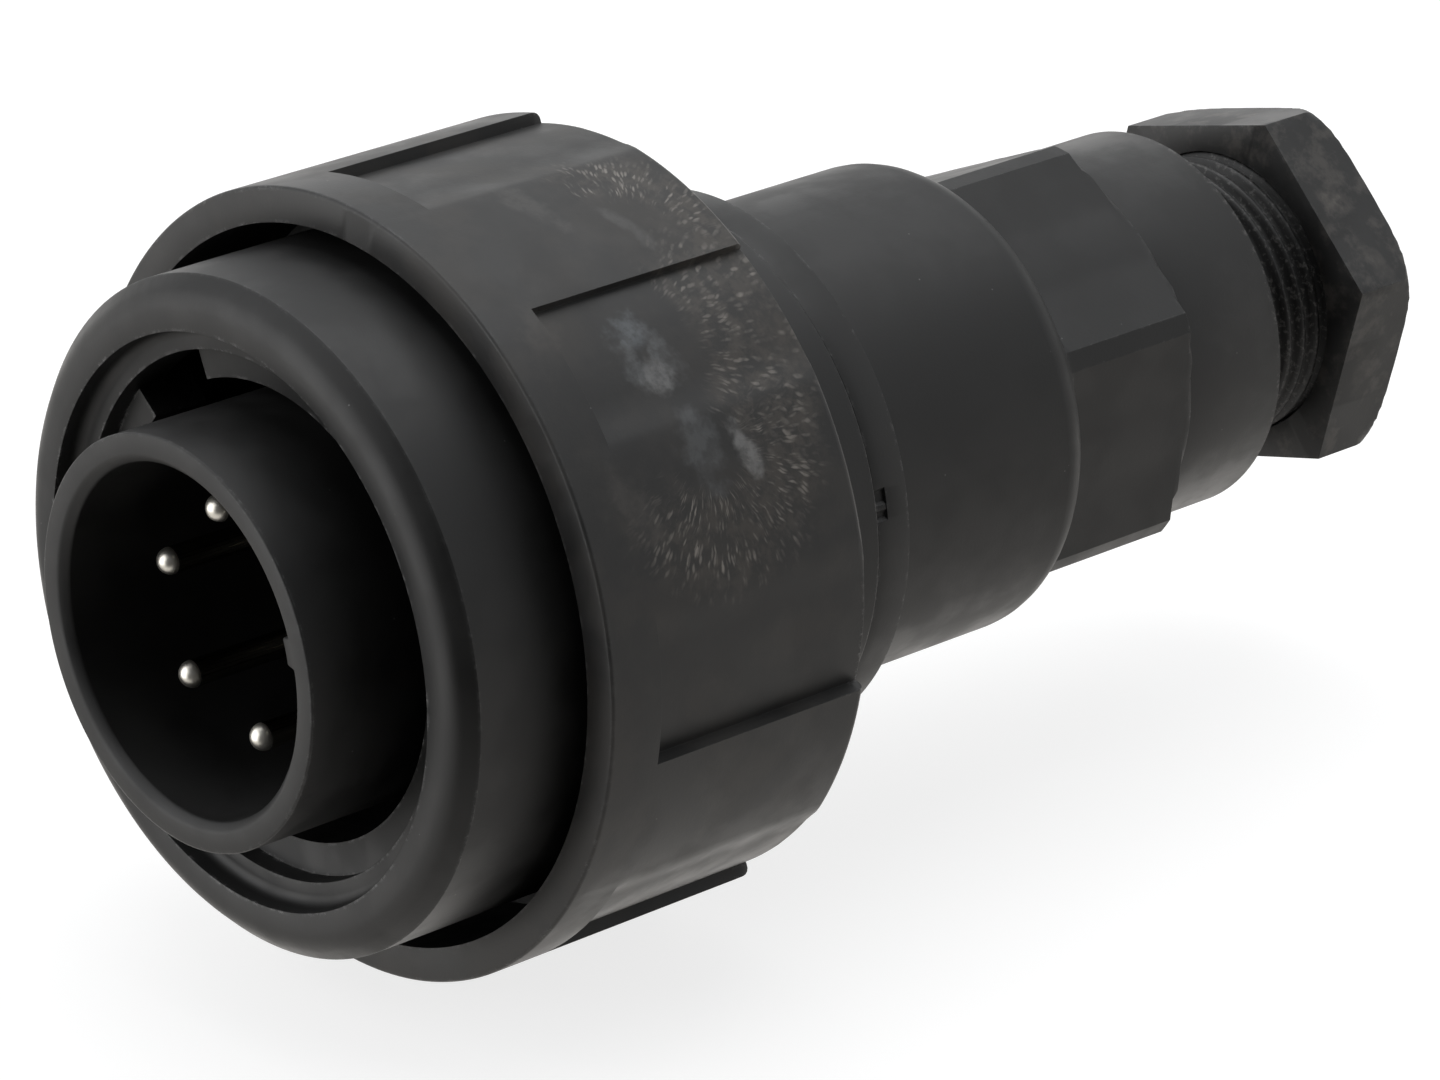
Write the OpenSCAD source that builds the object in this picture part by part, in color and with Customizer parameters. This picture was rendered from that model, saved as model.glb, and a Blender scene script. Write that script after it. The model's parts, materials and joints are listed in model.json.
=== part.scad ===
// Male cable plug with a bayonet coupling ring and a screwed cable gland.
// The plug's axis lies along +Y: the mating rim is at Y = 0 and the cable leaves towards +Y.
// Inside the modules the axis is drawn along +Z and laid down once, by lay().

/* [Pin shroud] */
// Outside diameter of the round shroud that guards the contact pins
shroud_d = 15; // [14.6:0.1:17]
// Wall of the shroud
shroud_wall = 1.1; // [0.9:0.05:1.3]
// Length of bare shroud in front of the barrel's shoulder
shroud_reach = 12; // [11:0.1:14]
// Chamfer round the inside of the mating rim
rim_chamfer = 0.4; // [0.1:0.05:0.6]
// Width of the polarising key inside the shroud
key_w = 1.05; // [0.6:0.05:1.5]
// Height of the polarising key
key_h = 0.45; // [0.2:0.05:0.6]

/* [Contacts] */
// Diameter of a contact pin
pin_d = 1; // [0.8:0.05:1.1]
// Diameter of the circle that the pins stand on
pin_circle_d = 8.2; // [7.4:0.1:8.6]
// Depth of the pin tips behind the mating rim
pin_recess = 2.4; // [1.5:0.1:5]
// Diameter of the collar that traps a pin between the two insulators
pin_collar_d = 1.8; // [1.6:0.05:2]
// Diameter of the crimp barrel behind the insulators
crimp_d = 1.6; // [1.4:0.05:1.7]
// Wire hole in the crimp barrel
wire_d = 1.1; // [0.7:0.05:1.2]
// Length of crimp barrel behind the rear insulator
crimp_len = 4.5; // [3:0.1:6]

/* [Insulators] */
// Depth of the front insulator's face behind the mating rim
face_depth = 10.5; // [9:0.1:11.5]
// Thickness of the front insulator
front_insulator_t = 5.5; // [4.5:0.1:6]
// Thickness of the rear insulator
rear_insulator_t = 5.4; // [4.5:0.1:6]

/* [Plug shell] */
// Width of the shoulder that the interface seal sits against
seal_w = 1.5; // [1.3:0.1:1.8]
// Thickness of the interface seal
seal_t = 0.8; // [0.6:0.05:1]
// How deep the seal sits in the shroud
seal_bite = 0.2; // [0.1:0.05:0.3]
// Land between the shoulder and the clip groove
clip_land = 1.2; // [0.8:0.1:1.6]
// Thickness of the retaining clip
clip_t = 0.9; // [0.6:0.05:1.2]
// How deep the clip sits in the barrel
clip_bite = 0.5; // [0.3:0.05:0.7]
// How far the clip stands out of the barrel
clip_proud = 0.9; // [0.6:0.05:1]
// Step from the barrel out to the hub behind the coupling ring
hub_step = 1.4; // [1.3:0.05:1.6]
// Length of the hub
hub_len = 4; // [3.4:0.1:5]
// Length of the tail that goes into the rear body
tail_len = 7; // [6:0.1:8]
// Radius of the tail
tail_r = 7.4; // [7.2:0.05:7.6]
// Wall of the tail
tail_wall = 1.8; // [1.6:0.1:2]

/* [Bayonet collar] */
// Setback of the collar's face behind the mating rim
collar_setback = 2.6; // [2:0.1:3.4]
// Room between the shroud and the collar for the mating shell
mate_gap = 2.9; // [2.7:0.05:3.2]
// Wall of the collar
collar_wall = 1.9; // [1.7:0.05:2.2]
// Radius of the swell of the collar's front lip
lip_round = 2.45; // [1.6:0.05:2.6]
// Angle that the lip turns through before it meets the collar's outside
lip_lean = 46; // [35:1:50]
// Thickness of the web that turns on the barrel
web_t = 3; // [2.6:0.1:3.6]
// Arc that one bayonet ramp spans
ramp_arc = 94; // [60:1:100]
// Depth of the ramps behind the collar's face
ramp_setback = 1.7; // [1.2:0.1:2.4]
// Thickness of a ramp at its middle
ramp_t = 1.7; // [1.4:0.1:2.2]
// Height of a ramp above the collar's bore
ramp_h = 2.05; // [1.4:0.05:2.1]
// Slope of a ramp's locking face
ramp_slope = 5; // [2:0.5:6]
// Depth of the mouth's inner ledge behind the collar's face
ledge_setback = 0.9; // [0.7:0.05:1.2]
// Height of the ledge above the collar's bore
ledge_h = 0.85; // [0.6:0.05:1]
// Thickness of the ledge
ledge_t = 1.8; // [1.2:0.1:2]
// Fillet where the ledge meets the mouth
ledge_fillet = 0.4; // [0.2:0.05:0.5]

/* [Grip ring] */
// Setback of the grip ring behind the collar's face
grip_setback = 4.75; // [4.4:0.05:6]
// Open groove between the collar and the grip ring
grip_gap = 0.8; // [0.6:0.05:1]
// Wall of the grip ring outside that groove
grip_wall = 1.3; // [1.2:0.05:1.8]
// Length of the grip ring
grip_len = 11.8; // [11.4:0.1:12.6]
// Depth of the groove in the ring's front
grip_groove_depth = 5.2; // [4:0.1:6]
// Plain band at the ring's front
grip_band = 2.2; // [1.5:0.1:4]
// Depth of a hollow at its steep side
land_depth = 0.45; // [0.3:0.05:0.6]
// Depth of a hollow at the foot of its sloped side
hollow_depth = 0.26; // [0.2:0.02:0.3]
// Arc of that slope
hollow_slope = 3.2; // [2:0.2:6]
// Rounding of the ring's front edge
grip_edge = 0.15; // [0.1:0.05:0.3]
// Rounding of the ring's rear edge
grip_round = 0.35; // [0.1:0.05:0.5]

/* [Coupling spring] */
// Height of the wave spring behind the collar
spring_h = 1.6; // [1.3:0.1:2]
// Thickness of the spring strip
spring_t = 0.35; // [0.25:0.05:0.5]
// Radial width of the spring strip
spring_w = 1; // [0.6:0.05:1.1]
// Number of waves
spring_waves = 3; // [2:1:5]

/* [Rear body] */
// Gap between the hub and the rear body
joint_gap = 0.25; // [0.15:0.05:0.4]
// Length of the rear body's front flange
flange_len = 1.5; // [1.2:0.1:2.5]
// How far the hub stands out past that flange
hub_proud = 0.15; // [0.05:0.05:0.4]
// Wall of the barrel round the tail
body_wall = 1.55; // [1.3:0.05:1.7]
// Length of the barrel behind the flange
body_len = 10.5; // [9.5:0.1:13]
// Rounding of the barrel's rear shoulder
shoulder_round = 1.4; // [0.8:0.1:1.5]
// Distance across the spanner flats
flats_af = 15; // [14.8:0.05:15.4]
// Length of the spanner flats
flats_len = 6.4; // [5:0.1:8]
// Radius that the flats' corners are turned down to
flats_r = 8.45; // [7.9:0.05:8.5]
// Diameter of the neck behind the flats
neck_d = 14.7; // [13.6:0.05:14.75]
// Length of the neck
neck_len = 4.9; // [4.5:0.1:7]
// Width of the seat cut for the body seal
body_seal_w = 1; // [0.8:0.05:1.1]
// Width of the latch notch in the flange
latch_w = 0.9; // [0.4:0.05:1.2]

/* [Cable gland] */
// Outside diameter of the gland thread
gland_thread_d = 11; // [10.8:0.05:11.2]
// Depth of the gland thread
gland_thread_depth = 0.35; // [0.25:0.05:0.4]
// Length of the gland thread
gland_thread_len = 5.5; // [5:0.1:7]
// Thread that the loose nut has hold of
nut_engaged = 1.1; // [0.9:0.05:1.3]
// Distance across the nut's flats
nut_af = 13.15; // [12.9:0.05:14]
// Length of the gland nut
nut_len = 3.1; // [3:0.05:4.5]
// Wall at the nut's cable end
nut_wall = 0.7; // [0.6:0.05:0.8]
// Rounding of the nut's cable end
nut_round = 1; // [0.5:0.05:1.2]
// Diameter of the cable entry
entry_d = 6; // [5.6:0.1:6.4]
// Bore of the sealing grommet
grommet_bore_d = 5.4; // [4:0.1:5.5]
// Diameter of the seat for the grommet and the pinch ring
gland_seat_d = 8.4; // [8.2:0.05:8.6]
// Depth of that seat inside the gland thread's end
gland_seat_depth = 10; // [9:0.1:10.4]
// Length of the sealing grommet
grommet_len = 6.4; // [5:0.1:7]
// Thickness of the slip washer
washer_t = 0.4; // [0.3:0.05:0.5]
// Step from the cable entry out to the slip washer's bore
washer_step = 0.6; // [0.4:0.05:0.8]

/* [Clearances] */
// Running clearance of the collar on the barrel
running_fit = 0.06; // [0.03:0.01:0.1]
// Clearance between pieces that are pushed together
push_fit = 0.05; // [0.03:0.01:0.08]
// Clearance beside moving and loose faces
side_fit = 0.1; // [0.06:0.01:0.14]
// Clearance inside the nut's thread
thread_fit = 0.06; // [0.03:0.01:0.1]

/* [Clocking seen along the axis] */
// Angle of the first contact pin
pin_clock = 15; // [0:1:59]
// Angle of the middle of the first raised land
land_clock = -23.5; // [-45:0.5:45]
// Angle of one corner of the spanner flats
flats_clock = -24; // [-60:1:60]
// Angle of one corner of the gland nut
nut_clock = -15; // [-60:1:60]
// Angle of the middle of the first bayonet ramp
ramp_clock = 53; // [-60:1:60]
// Angle of the latch notches
latch_clock = -10; // [-30:1:30]

/* [Hidden] */
$fn = 96;
eps = 0.01;
arc_steps = 6;
pin_count = 6;
ramp_count = 3;
land_count = 8;
rib_count = 3;
pinch_slots = 6;

// Radii from the axis outwards
shroud_r = shroud_d / 2;
shroud_bore_r = shroud_r - shroud_wall;
seal_seat_r = shroud_r - seal_bite;
barrel_r = shroud_r + seal_w;
hub_r = barrel_r + hub_step;
collar_bore_r = shroud_r + mate_gap;
collar_r = collar_bore_r + collar_wall;
ramp_r = collar_bore_r - ramp_h;
grip_bore_r = collar_r + grip_gap;
grip_r = grip_bore_r + grip_wall;
insulator_r = shroud_bore_r - push_fit;
tail_bore_r = tail_r - tail_wall;
flange_r = hub_r - hub_proud;
body_bore_r = tail_r + push_fit;
body_r = body_bore_r + body_wall;
body_seat_r = tail_r + body_seal_w;
cavity_r = tail_bore_r + push_fit;
neck_r = neck_d / 2;
thread_r = gland_thread_d / 2;
core_r = thread_r - gland_thread_depth;
gland_seat_r = gland_seat_d / 2;
entry_r = entry_d / 2;
pin_circle_r = pin_circle_d / 2;
shank_r = pin_d / 2 + side_fit;
spring_bore_r = barrel_r + 2 * side_fit;
spring_r = spring_bore_r + spring_w;

// Stations along the axis, from the mating rim to the cable end
key_clock = pin_clock - 180 / pin_count;
insulator_joint = face_depth + front_insulator_t;
insulator_end = insulator_joint + rear_insulator_t;
pin_collar_t = front_insulator_t / 4;
seal_at = shroud_reach - seal_t;
clip_at = shroud_reach + clip_land;
clip_groove_t = clip_t + side_fit;
web_at = clip_at + clip_groove_t + side_fit;
web_end = web_at + web_t;
hub_at = web_end + spring_h + 2 * side_fit;
hub_end = hub_at + hub_len;
tail_end = hub_end + tail_len;
ramp_at = collar_setback + ramp_setback;
ledge_at = collar_setback + ledge_setback;
grip_at = collar_setback + grip_setback;
grip_end = grip_at + grip_len;
grip_seat_at = grip_at + grip_groove_depth;
body_at = hub_end + joint_gap;
body_seat_end = body_at + flange_len / 2;
flange_end = body_at + flange_len;
flats_at = flange_end + body_len;
flats_end = flats_at + flats_len;
neck_end = flats_end + neck_len;
thread_end = neck_end + gland_thread_len;
nut_at = thread_end - nut_engaged;
nut_end = nut_at + nut_len;
nut_floor = nut_end - nut_wall;
washer_at = nut_floor - washer_t;
seat_at = thread_end - gland_seat_depth;
grommet_end = seat_at + grommet_len;
hollow_arc = 180 / land_count;

// Lays a piece drawn along +Z down along +Y.
module lay() {
    rotate([-90, 0, 0])
        children();
}

// Points of an arc about (cx, cy), for the rounded edges of a turned outline.
function arc_points(cx, cy, r, from, to) = [
    for (i = [0 : arc_steps])
        let (a = from + (to - from) * i / arc_steps)
        [cx + r * cos(a), cy + r * sin(a)]
];

// A plain tube along the axis.
module tube(r_out, r_in, at, end) {
    rotate_extrude()
        translate([r_in, at])
            square([r_out - r_in, end - at]);
}

// Places copies round the axis on the pins' circle.
module on_pin_circle() {
    for (i = [0 : pin_count - 1])
        rotate([0, 0, pin_clock + 360 / pin_count * i])
            translate([pin_circle_r, 0, 0])
                children();
}

// Moulded shell: shroud, barrel for the coupling ring, hub and tail in one piece.
module plug_shell() {
    color([0.13, 0.13, 0.135])
    lay()
    union() {
        rotate_extrude()
            polygon([
                [shroud_bore_r + rim_chamfer, 0],
                [shroud_r, 0],
                [shroud_r, seal_at],
                [seal_seat_r, seal_at],
                [seal_seat_r, shroud_reach],
                [barrel_r, shroud_reach],
                [barrel_r, clip_at],
                [barrel_r - clip_bite, clip_at],
                [barrel_r - clip_bite, clip_at + clip_groove_t],
                [barrel_r, clip_at + clip_groove_t],
                [barrel_r, hub_at],
                [hub_r, hub_at],
                [hub_r, hub_end],
                [tail_r, hub_end],
                [tail_r, tail_end],
                [tail_bore_r, tail_end],
                [tail_bore_r, insulator_end],
                [shroud_bore_r, insulator_end],
                [shroud_bore_r, rim_chamfer]
            ]);
        polarising_key();
    }
}

// Key on the inside of the shroud, from the rim's chamfer to the insulator.
module polarising_key() {
    rotate([0, 0, key_clock])
        translate([shroud_bore_r - key_h, -key_w / 2, rim_chamfer / 2])
            cube([key_h + shroud_wall / 2, key_w, face_depth - side_fit - rim_chamfer / 2]);
}

// Hard insulator that the pins stand out of.
module front_insulator() {
    color([0.10, 0.10, 0.10])
    lay()
    difference() {
        translate([0, 0, face_depth])
            cylinder(r = insulator_r, h = front_insulator_t);
        on_pin_circle() {
            translate([0, 0, face_depth - 1])
                cylinder(r = shank_r + push_fit, h = front_insulator_t + 2);
            translate([0, 0, insulator_joint - pin_collar_t])
                cylinder(d = pin_collar_d + 2 * push_fit, h = pin_collar_t + 1);
        }
    }
}

// Soft rear insulator that closes behind the pins' collars.
module rear_insulator() {
    color([0.33, 0.31, 0.29])
    lay()
    difference() {
        translate([0, 0, insulator_joint])
            cylinder(r = insulator_r, h = rear_insulator_t);
        on_pin_circle()
            translate([0, 0, insulator_joint - 1])
                cylinder(d = crimp_d + 2 * push_fit, h = rear_insulator_t + 2);
    }
}

// Turned contact: round-nosed pin, trapped collar and crimp barrel with its wire hole.
module contact_pin(i) {
    collar_at = insulator_joint - pin_collar_t + push_fit;
    crimp_end = insulator_end + crimp_len;
    wire_depth = crimp_len + rear_insulator_t / 3;
    color([0.86, 0.83, 0.74])
    lay()
    rotate([0, 0, pin_clock + 360 / pin_count * i])
        translate([pin_circle_r, 0, 0])
            rotate_extrude($fn = 48)
                polygon(concat(
                    [[0, pin_recess]],
                    arc_points(0, pin_recess + pin_d / 2, pin_d / 2, -75, 0),
                    [
                        [pin_d / 2, face_depth - side_fit],
                        [shank_r, face_depth - side_fit],
                        [shank_r, collar_at],
                        [pin_collar_d / 2, collar_at],
                        [pin_collar_d / 2, insulator_joint],
                        [crimp_d / 2, insulator_joint],
                        [crimp_d / 2, crimp_end],
                        [wire_d / 2, crimp_end],
                        [wire_d / 2, crimp_end - wire_depth],
                        [0, crimp_end - wire_depth]
                    ]
                ));
}

// Flat rubber ring against the barrel's shoulder, which the mating shell presses on.
module interface_seal() {
    color([0.16, 0.16, 0.16])
    lay()
    tube(barrel_r - side_fit, seal_seat_r + push_fit, seal_at + push_fit, shroud_reach);
}

// Sprung clip in the barrel's groove that keeps the collar from coming off forwards.
module retaining_clip() {
    clip_opening = 24;
    color([0.62, 0.62, 0.60])
    lay()
    translate([0, 0, clip_at + side_fit / 2])
        rotate([0, 0, 90 + clip_opening / 2])
            rotate_extrude(angle = 360 - clip_opening)
                translate([barrel_r - clip_bite + push_fit, 0])
                    square([clip_bite + clip_proud - push_fit, clip_t]);
}

// Height of the wave spring's middle at one angle.
function spring_wave(a) =
    web_end + side_fit + spring_h / 2
    + (spring_h - spring_t) / 2 * cos(spring_waves * a);

// Wave spring that pushes the collar forwards off the hub.
module wave_spring() {
    steps = 24 * spring_waves;
    corners = [
        [spring_bore_r, -spring_t / 2], [spring_r, -spring_t / 2],
        [spring_r, spring_t / 2], [spring_bore_r, spring_t / 2]
    ];
    points = [
        for (i = [0 : steps - 1], c = corners)
            let (a = 360 * i / steps)
            [c[0] * cos(a), c[0] * sin(a), spring_wave(a) + c[1]]
    ];
    faces = [
        for (i = [0 : steps - 1], j = [0 : 3])
            let (n = (i + 1) % steps, k = (j + 1) % 4)
            each [[4 * i + j, 4 * i + k, 4 * n + k], [4 * i + j, 4 * n + k, 4 * n + j]]
    ];
    color([0.60, 0.60, 0.58])
    lay()
        polyhedron(points = points, faces = faces);
}

// One bayonet ramp: a sector of inner rim whose locking face leans like a screw thread.
module bayonet_ramp() {
    lean = ramp_r * sin(ramp_arc / 2) * tan(ramp_slope);
    block_t = ramp_t + 2 * lean;
    difference() {
        translate([0, 0, ramp_at])
            rotate([0, 0, -ramp_arc / 2])
                rotate_extrude(angle = ramp_arc)
                    translate([ramp_r, 0])
                        square([ramp_h + collar_wall / 2, block_t]);
        translate([0, 0, ramp_at + ramp_t])
            rotate([ramp_slope, 0, 0])
                translate([0, -collar_r, 0])
                    cube([2 * collar_r, 2 * collar_r, 2 * block_t]);
    }
}

// Coupling collar: swelling lip, ledge, bayonet ramps, web that turns on the barrel, drive ribs.
module bayonet_collar() {
    clip_room_r = barrel_r + clip_proud + 2 * side_fit;
    clip_room_at = clip_at - 2 * side_fit;
    lip_r = min(lip_round, (collar_wall - 2 * side_fit) / sin(lip_lean));
    ledge_end = ledge_at + ledge_t;
    ledge_r = collar_bore_r - ledge_h;
    color([0.14, 0.14, 0.145])
    lay()
    union() {
        rotate_extrude()
            polygon(concat(
                [[collar_bore_r, collar_setback]],
                arc_points(collar_r - lip_r * sin(lip_lean), collar_setback + lip_r,
                    lip_r, -90, lip_lean - 90),
                [
                    [collar_r, web_end],
                    [barrel_r + running_fit, web_end],
                    [barrel_r + running_fit, web_at],
                    [clip_room_r, web_at],
                    [clip_room_r, clip_room_at],
                    [collar_bore_r, clip_room_at],
                    [collar_bore_r, ledge_end],
                    [ledge_r, ledge_end],
                    [ledge_r, ledge_at]
                ],
                arc_points(collar_bore_r - ledge_fillet, ledge_at - ledge_fillet,
                    ledge_fillet, 90, 0)
            ));
        for (i = [0 : ramp_count - 1])
            rotate([0, 0, ramp_clock + 360 / ramp_count * i])
                bayonet_ramp();
        drive_ribs(0);
    }
}

// Ribs that key the collar into the grip ring; room widens them into the ring's slots.
module drive_ribs(room) {
    rib_w = 2;
    rib_h = 0.45;
    for (i = [0 : rib_count - 1])
        rotate([0, 0, ramp_clock + 360 / rib_count * i])
            translate([collar_r - rib_h, -rib_w / 2 - room, grip_seat_at + side_fit - room])
                cube([2 * rib_h + room, rib_w + 2 * room, web_end - grip_seat_at - side_fit + room]);
}

// One hollow between two lands: steep on one side, sloped on the side that the mould leaves by.
module grip_hollow(side) {
    reach_r = grip_r * 1.2;
    half = hollow_arc / 2;
    floor_points = [
        for (i = [0 : arc_steps])
            let (
                a = hollow_slope - half + (hollow_arc - hollow_slope) * i / arc_steps,
                r = grip_r - hollow_depth - (land_depth - hollow_depth) * i / arc_steps
            )
            [r * cos(a), r * sin(a)]
    ];
    mirror([0, side < 0 ? 1 : 0, 0])
        translate([0, 0, grip_at + grip_band])
            linear_extrude(height = grip_len)
                polygon(concat(
                    floor_points,
                    [
                        [reach_r * cos(half), reach_r * sin(half)],
                        [reach_r * cos(half), -reach_r * sin(half)],
                        [grip_r * cos(half), -grip_r * sin(half)]
                    ]
                ));
}

// Outer grip ring with alternate raised lands and hollows, open to the rear.
module grip_ring() {
    seat_r = collar_r + push_fit;
    rear_bore_r = hub_r + 3 * side_fit;
    color([0.15, 0.15, 0.155])
    lay()
    difference() {
        rotate_extrude()
            polygon(concat(
                [[grip_bore_r, grip_at]],
                arc_points(grip_r - grip_edge, grip_at + grip_edge, grip_edge, -90, 0),
                arc_points(grip_r - grip_round, grip_end - grip_round, grip_round, 0, 90),
                [
                    [rear_bore_r, grip_end],
                    [rear_bore_r, web_end],
                    [seat_r, web_end],
                    [seat_r, grip_seat_at],
                    [grip_bore_r, grip_seat_at]
                ]
            ));
        for (i = [0 : land_count - 1])
            rotate([0, 0, land_clock + hollow_arc * (2 * i + 1)])
                grip_hollow(i % (land_count / 2) < land_count / 4 ? 1 : -1);
        drive_ribs(side_fit);
    }
}

// Rubber ring squeezed between the hub and the rear body.
module body_seal() {
    seal_r = min(body_seal_w, body_seat_end - hub_end) / 2 - push_fit;
    color([0.16, 0.16, 0.16])
    lay()
    rotate_extrude()
        translate([tail_r + body_seal_w / 2, (hub_end + body_seat_end) / 2])
            circle(r = seal_r, $fn = 48);
}

// Rear body: flange, barrel, spanner flats, neck and gland thread in one moulding.
module rear_body() {
    color([0.13, 0.13, 0.135])
    lay()
    difference() {
        union() {
            rotate_extrude()
                polygon(concat(
                    [
                        [0, body_at],
                        [flange_r, body_at],
                        [flange_r, flange_end],
                        [body_r, flange_end]
                    ],
                    arc_points(body_r - shoulder_round, flats_at - shoulder_round,
                        shoulder_round, 0, 90),
                    [[0, flats_at]]
                ));
            spanner_flats();
            translate([0, 0, flats_end - eps])
                cylinder(r = neck_r, h = neck_len + eps);
            translate([0, 0, neck_end - eps])
                cylinder(r = core_r, h = gland_thread_len + eps);
        }
        body_bores();
        latch_notch();
    }
}

// Hexagon for a spanner, its corners turned down and its rear end chamfered.
module spanner_flats() {
    chamfer = flats_r - flats_af / 2;
    intersection() {
        translate([0, 0, flats_at - eps])
            rotate([0, 0, flats_clock])
                cylinder(r = flats_af / 2 / cos(30), h = flats_len + eps, $fn = 6);
        rotate_extrude()
            polygon([
                [0, flats_at - 1],
                [flats_r, flats_at - 1],
                [flats_r, flats_end - chamfer / 2],
                [flats_r - chamfer, flats_end],
                [0, flats_end]
            ]);
    }
}

// Inside of the rear body: seal seat, tail socket, wire space, throat and gland seat.
module body_bores() {
    throat_r = entry_r + side_fit;
    throat_at = seat_at - body_wall;
    rotate_extrude()
        polygon([
            [0, body_at - 1],
            [body_seat_r + push_fit, body_at - 1],
            [body_seat_r + push_fit, body_seat_end],
            [body_bore_r, body_seat_end],
            [body_bore_r, tail_end + side_fit],
            [cavity_r, tail_end + side_fit],
            [cavity_r, throat_at - cavity_r + throat_r],
            [throat_r, throat_at],
            [throat_r, seat_at],
            [gland_seat_r, seat_at],
            [gland_seat_r, thread_end + 1],
            [0, thread_end + 1]
        ]);
}

// One small notch in the flange's front edge.
module latch_notch() {
    notch_depth = flange_len / 3;
    rotate([0, 0, latch_clock])
        translate([flange_r - notch_depth, -latch_w / 2, body_at - 1])
            cube([2 * notch_depth, latch_w, notch_depth + 1]);
}

// Soft sleeve that grips the cable when the nut is tightened.
module cable_grommet() {
    color([0.20, 0.20, 0.20])
    lay()
    tube(gland_seat_r - push_fit, grommet_bore_d / 2, seat_at, grommet_end);
}

// Slotted ring that pinches the cable behind the grommet.
module pinch_ring() {
    slot_w = 0.5;
    slot_len = (thread_end - grommet_end) * 0.6;
    color([0.22, 0.22, 0.22])
    lay()
    difference() {
        tube(gland_seat_r - push_fit, grommet_bore_d / 2 + side_fit, grommet_end, thread_end);
        for (i = [0 : pinch_slots - 1])
            rotate([0, 0, 360 / pinch_slots * i])
                translate([0, -slot_w / 2, grommet_end - 1])
                    cube([gland_seat_r + 1, slot_w, slot_len + 1]);
    }
}

// Thin washer that lets the nut turn without dragging the pinch ring round.
module slip_washer() {
    color([0.75, 0.74, 0.70])
    lay()
    tube(core_r, entry_r + washer_step, washer_at, nut_floor);
}

// Hexagonal gland nut, corners rounded over at the cable end.
module gland_nut() {
    corner_r = nut_af / 2 / cos(30);
    color([0.20, 0.20, 0.20])
    lay()
    difference() {
        intersection() {
            translate([0, 0, nut_at])
                rotate([0, 0, nut_clock])
                    cylinder(r = corner_r, h = nut_len, $fn = 6);
            rotate_extrude()
                polygon(concat(
                    [[0, nut_at - 1], [corner_r + eps, nut_at - 1]],
                    arc_points(corner_r + eps - nut_round, nut_end - nut_round, nut_round, 0, 90),
                    [[0, nut_end]]
                ));
        }
        translate([0, 0, nut_at - 1])
            cylinder(r = thread_r + thread_fit, h = nut_floor - nut_at + 1);
        translate([0, 0, nut_floor - 1])
            cylinder(r = entry_r, h = nut_wall + 2);
    }
}

plug_shell();
front_insulator();
rear_insulator();
contact_pin(0);  // contact_pin_1
contact_pin(1);  // contact_pin_2
contact_pin(2);  // contact_pin_3
contact_pin(3);  // contact_pin_4
contact_pin(4);  // contact_pin_5
contact_pin(5);  // contact_pin_6
interface_seal();
retaining_clip();
wave_spring();
bayonet_collar();
grip_ring();
body_seal();
rear_body();
cable_grommet();
pinch_ring();
slip_washer();
gland_nut();
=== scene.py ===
# %% [markdown]
# # A round bayonet plug, dressed for its photograph
# The plug is turned and moulded from black plastic: a shroud with six contact pins, a coupling
# collar inside a ribbed grip ring, a long rear body and a hexagonal nut on the cable gland.
# The measured solids come in first, as a frame. Every piece below is built in the same place and
# in the same metres, so nothing has to be fitted by eye.

# %% Load the frame
import json
import math

import bmesh
import bpy
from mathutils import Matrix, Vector


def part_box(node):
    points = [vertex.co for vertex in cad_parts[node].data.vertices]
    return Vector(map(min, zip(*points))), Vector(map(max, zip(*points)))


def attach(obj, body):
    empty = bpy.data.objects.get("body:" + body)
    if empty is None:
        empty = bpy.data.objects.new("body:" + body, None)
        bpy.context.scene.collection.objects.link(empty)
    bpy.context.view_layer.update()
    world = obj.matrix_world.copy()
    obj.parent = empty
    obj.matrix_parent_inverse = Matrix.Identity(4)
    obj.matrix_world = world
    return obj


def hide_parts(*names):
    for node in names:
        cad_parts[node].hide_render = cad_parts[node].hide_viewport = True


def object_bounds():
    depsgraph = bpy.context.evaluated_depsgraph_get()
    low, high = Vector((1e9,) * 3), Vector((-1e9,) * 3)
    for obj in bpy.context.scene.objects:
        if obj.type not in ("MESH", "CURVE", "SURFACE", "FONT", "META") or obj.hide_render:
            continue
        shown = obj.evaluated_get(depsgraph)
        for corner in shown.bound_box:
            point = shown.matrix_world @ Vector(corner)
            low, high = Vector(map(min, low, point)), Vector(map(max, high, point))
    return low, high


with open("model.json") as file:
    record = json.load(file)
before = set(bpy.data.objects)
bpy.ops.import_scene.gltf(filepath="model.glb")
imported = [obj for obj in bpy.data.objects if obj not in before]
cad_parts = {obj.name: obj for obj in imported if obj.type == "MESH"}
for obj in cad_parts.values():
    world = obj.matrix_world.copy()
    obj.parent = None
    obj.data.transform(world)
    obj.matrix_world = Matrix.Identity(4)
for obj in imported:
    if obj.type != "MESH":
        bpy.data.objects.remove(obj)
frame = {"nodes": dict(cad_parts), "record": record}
cad_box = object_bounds()
MM = 0.001

# %% [markdown]
# ## The camera
# The photograph was taken from far off with a long lens, so the plug looks almost parallel. The
# camera goes first, because every later choice is judged through it. Its place came from lining
# up the round rims of the plug with the picture. A long lens and no shift keep other views true.

# %% Camera
CAMERA_PLACE = (0.1762, -0.1320, 0.0965)
CAMERA_LOOK = Vector((-0.688, 0.613, -0.389))
SENSOR_MM = 36
LENS_MM = 175
CLIP_NEAR, CLIP_FAR = 0.01, 20


def linked(name, data):
    """An object with this data, in the scene."""
    obj = bpy.data.objects.new(name, data)
    bpy.context.scene.collection.objects.link(obj)
    return obj


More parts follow.
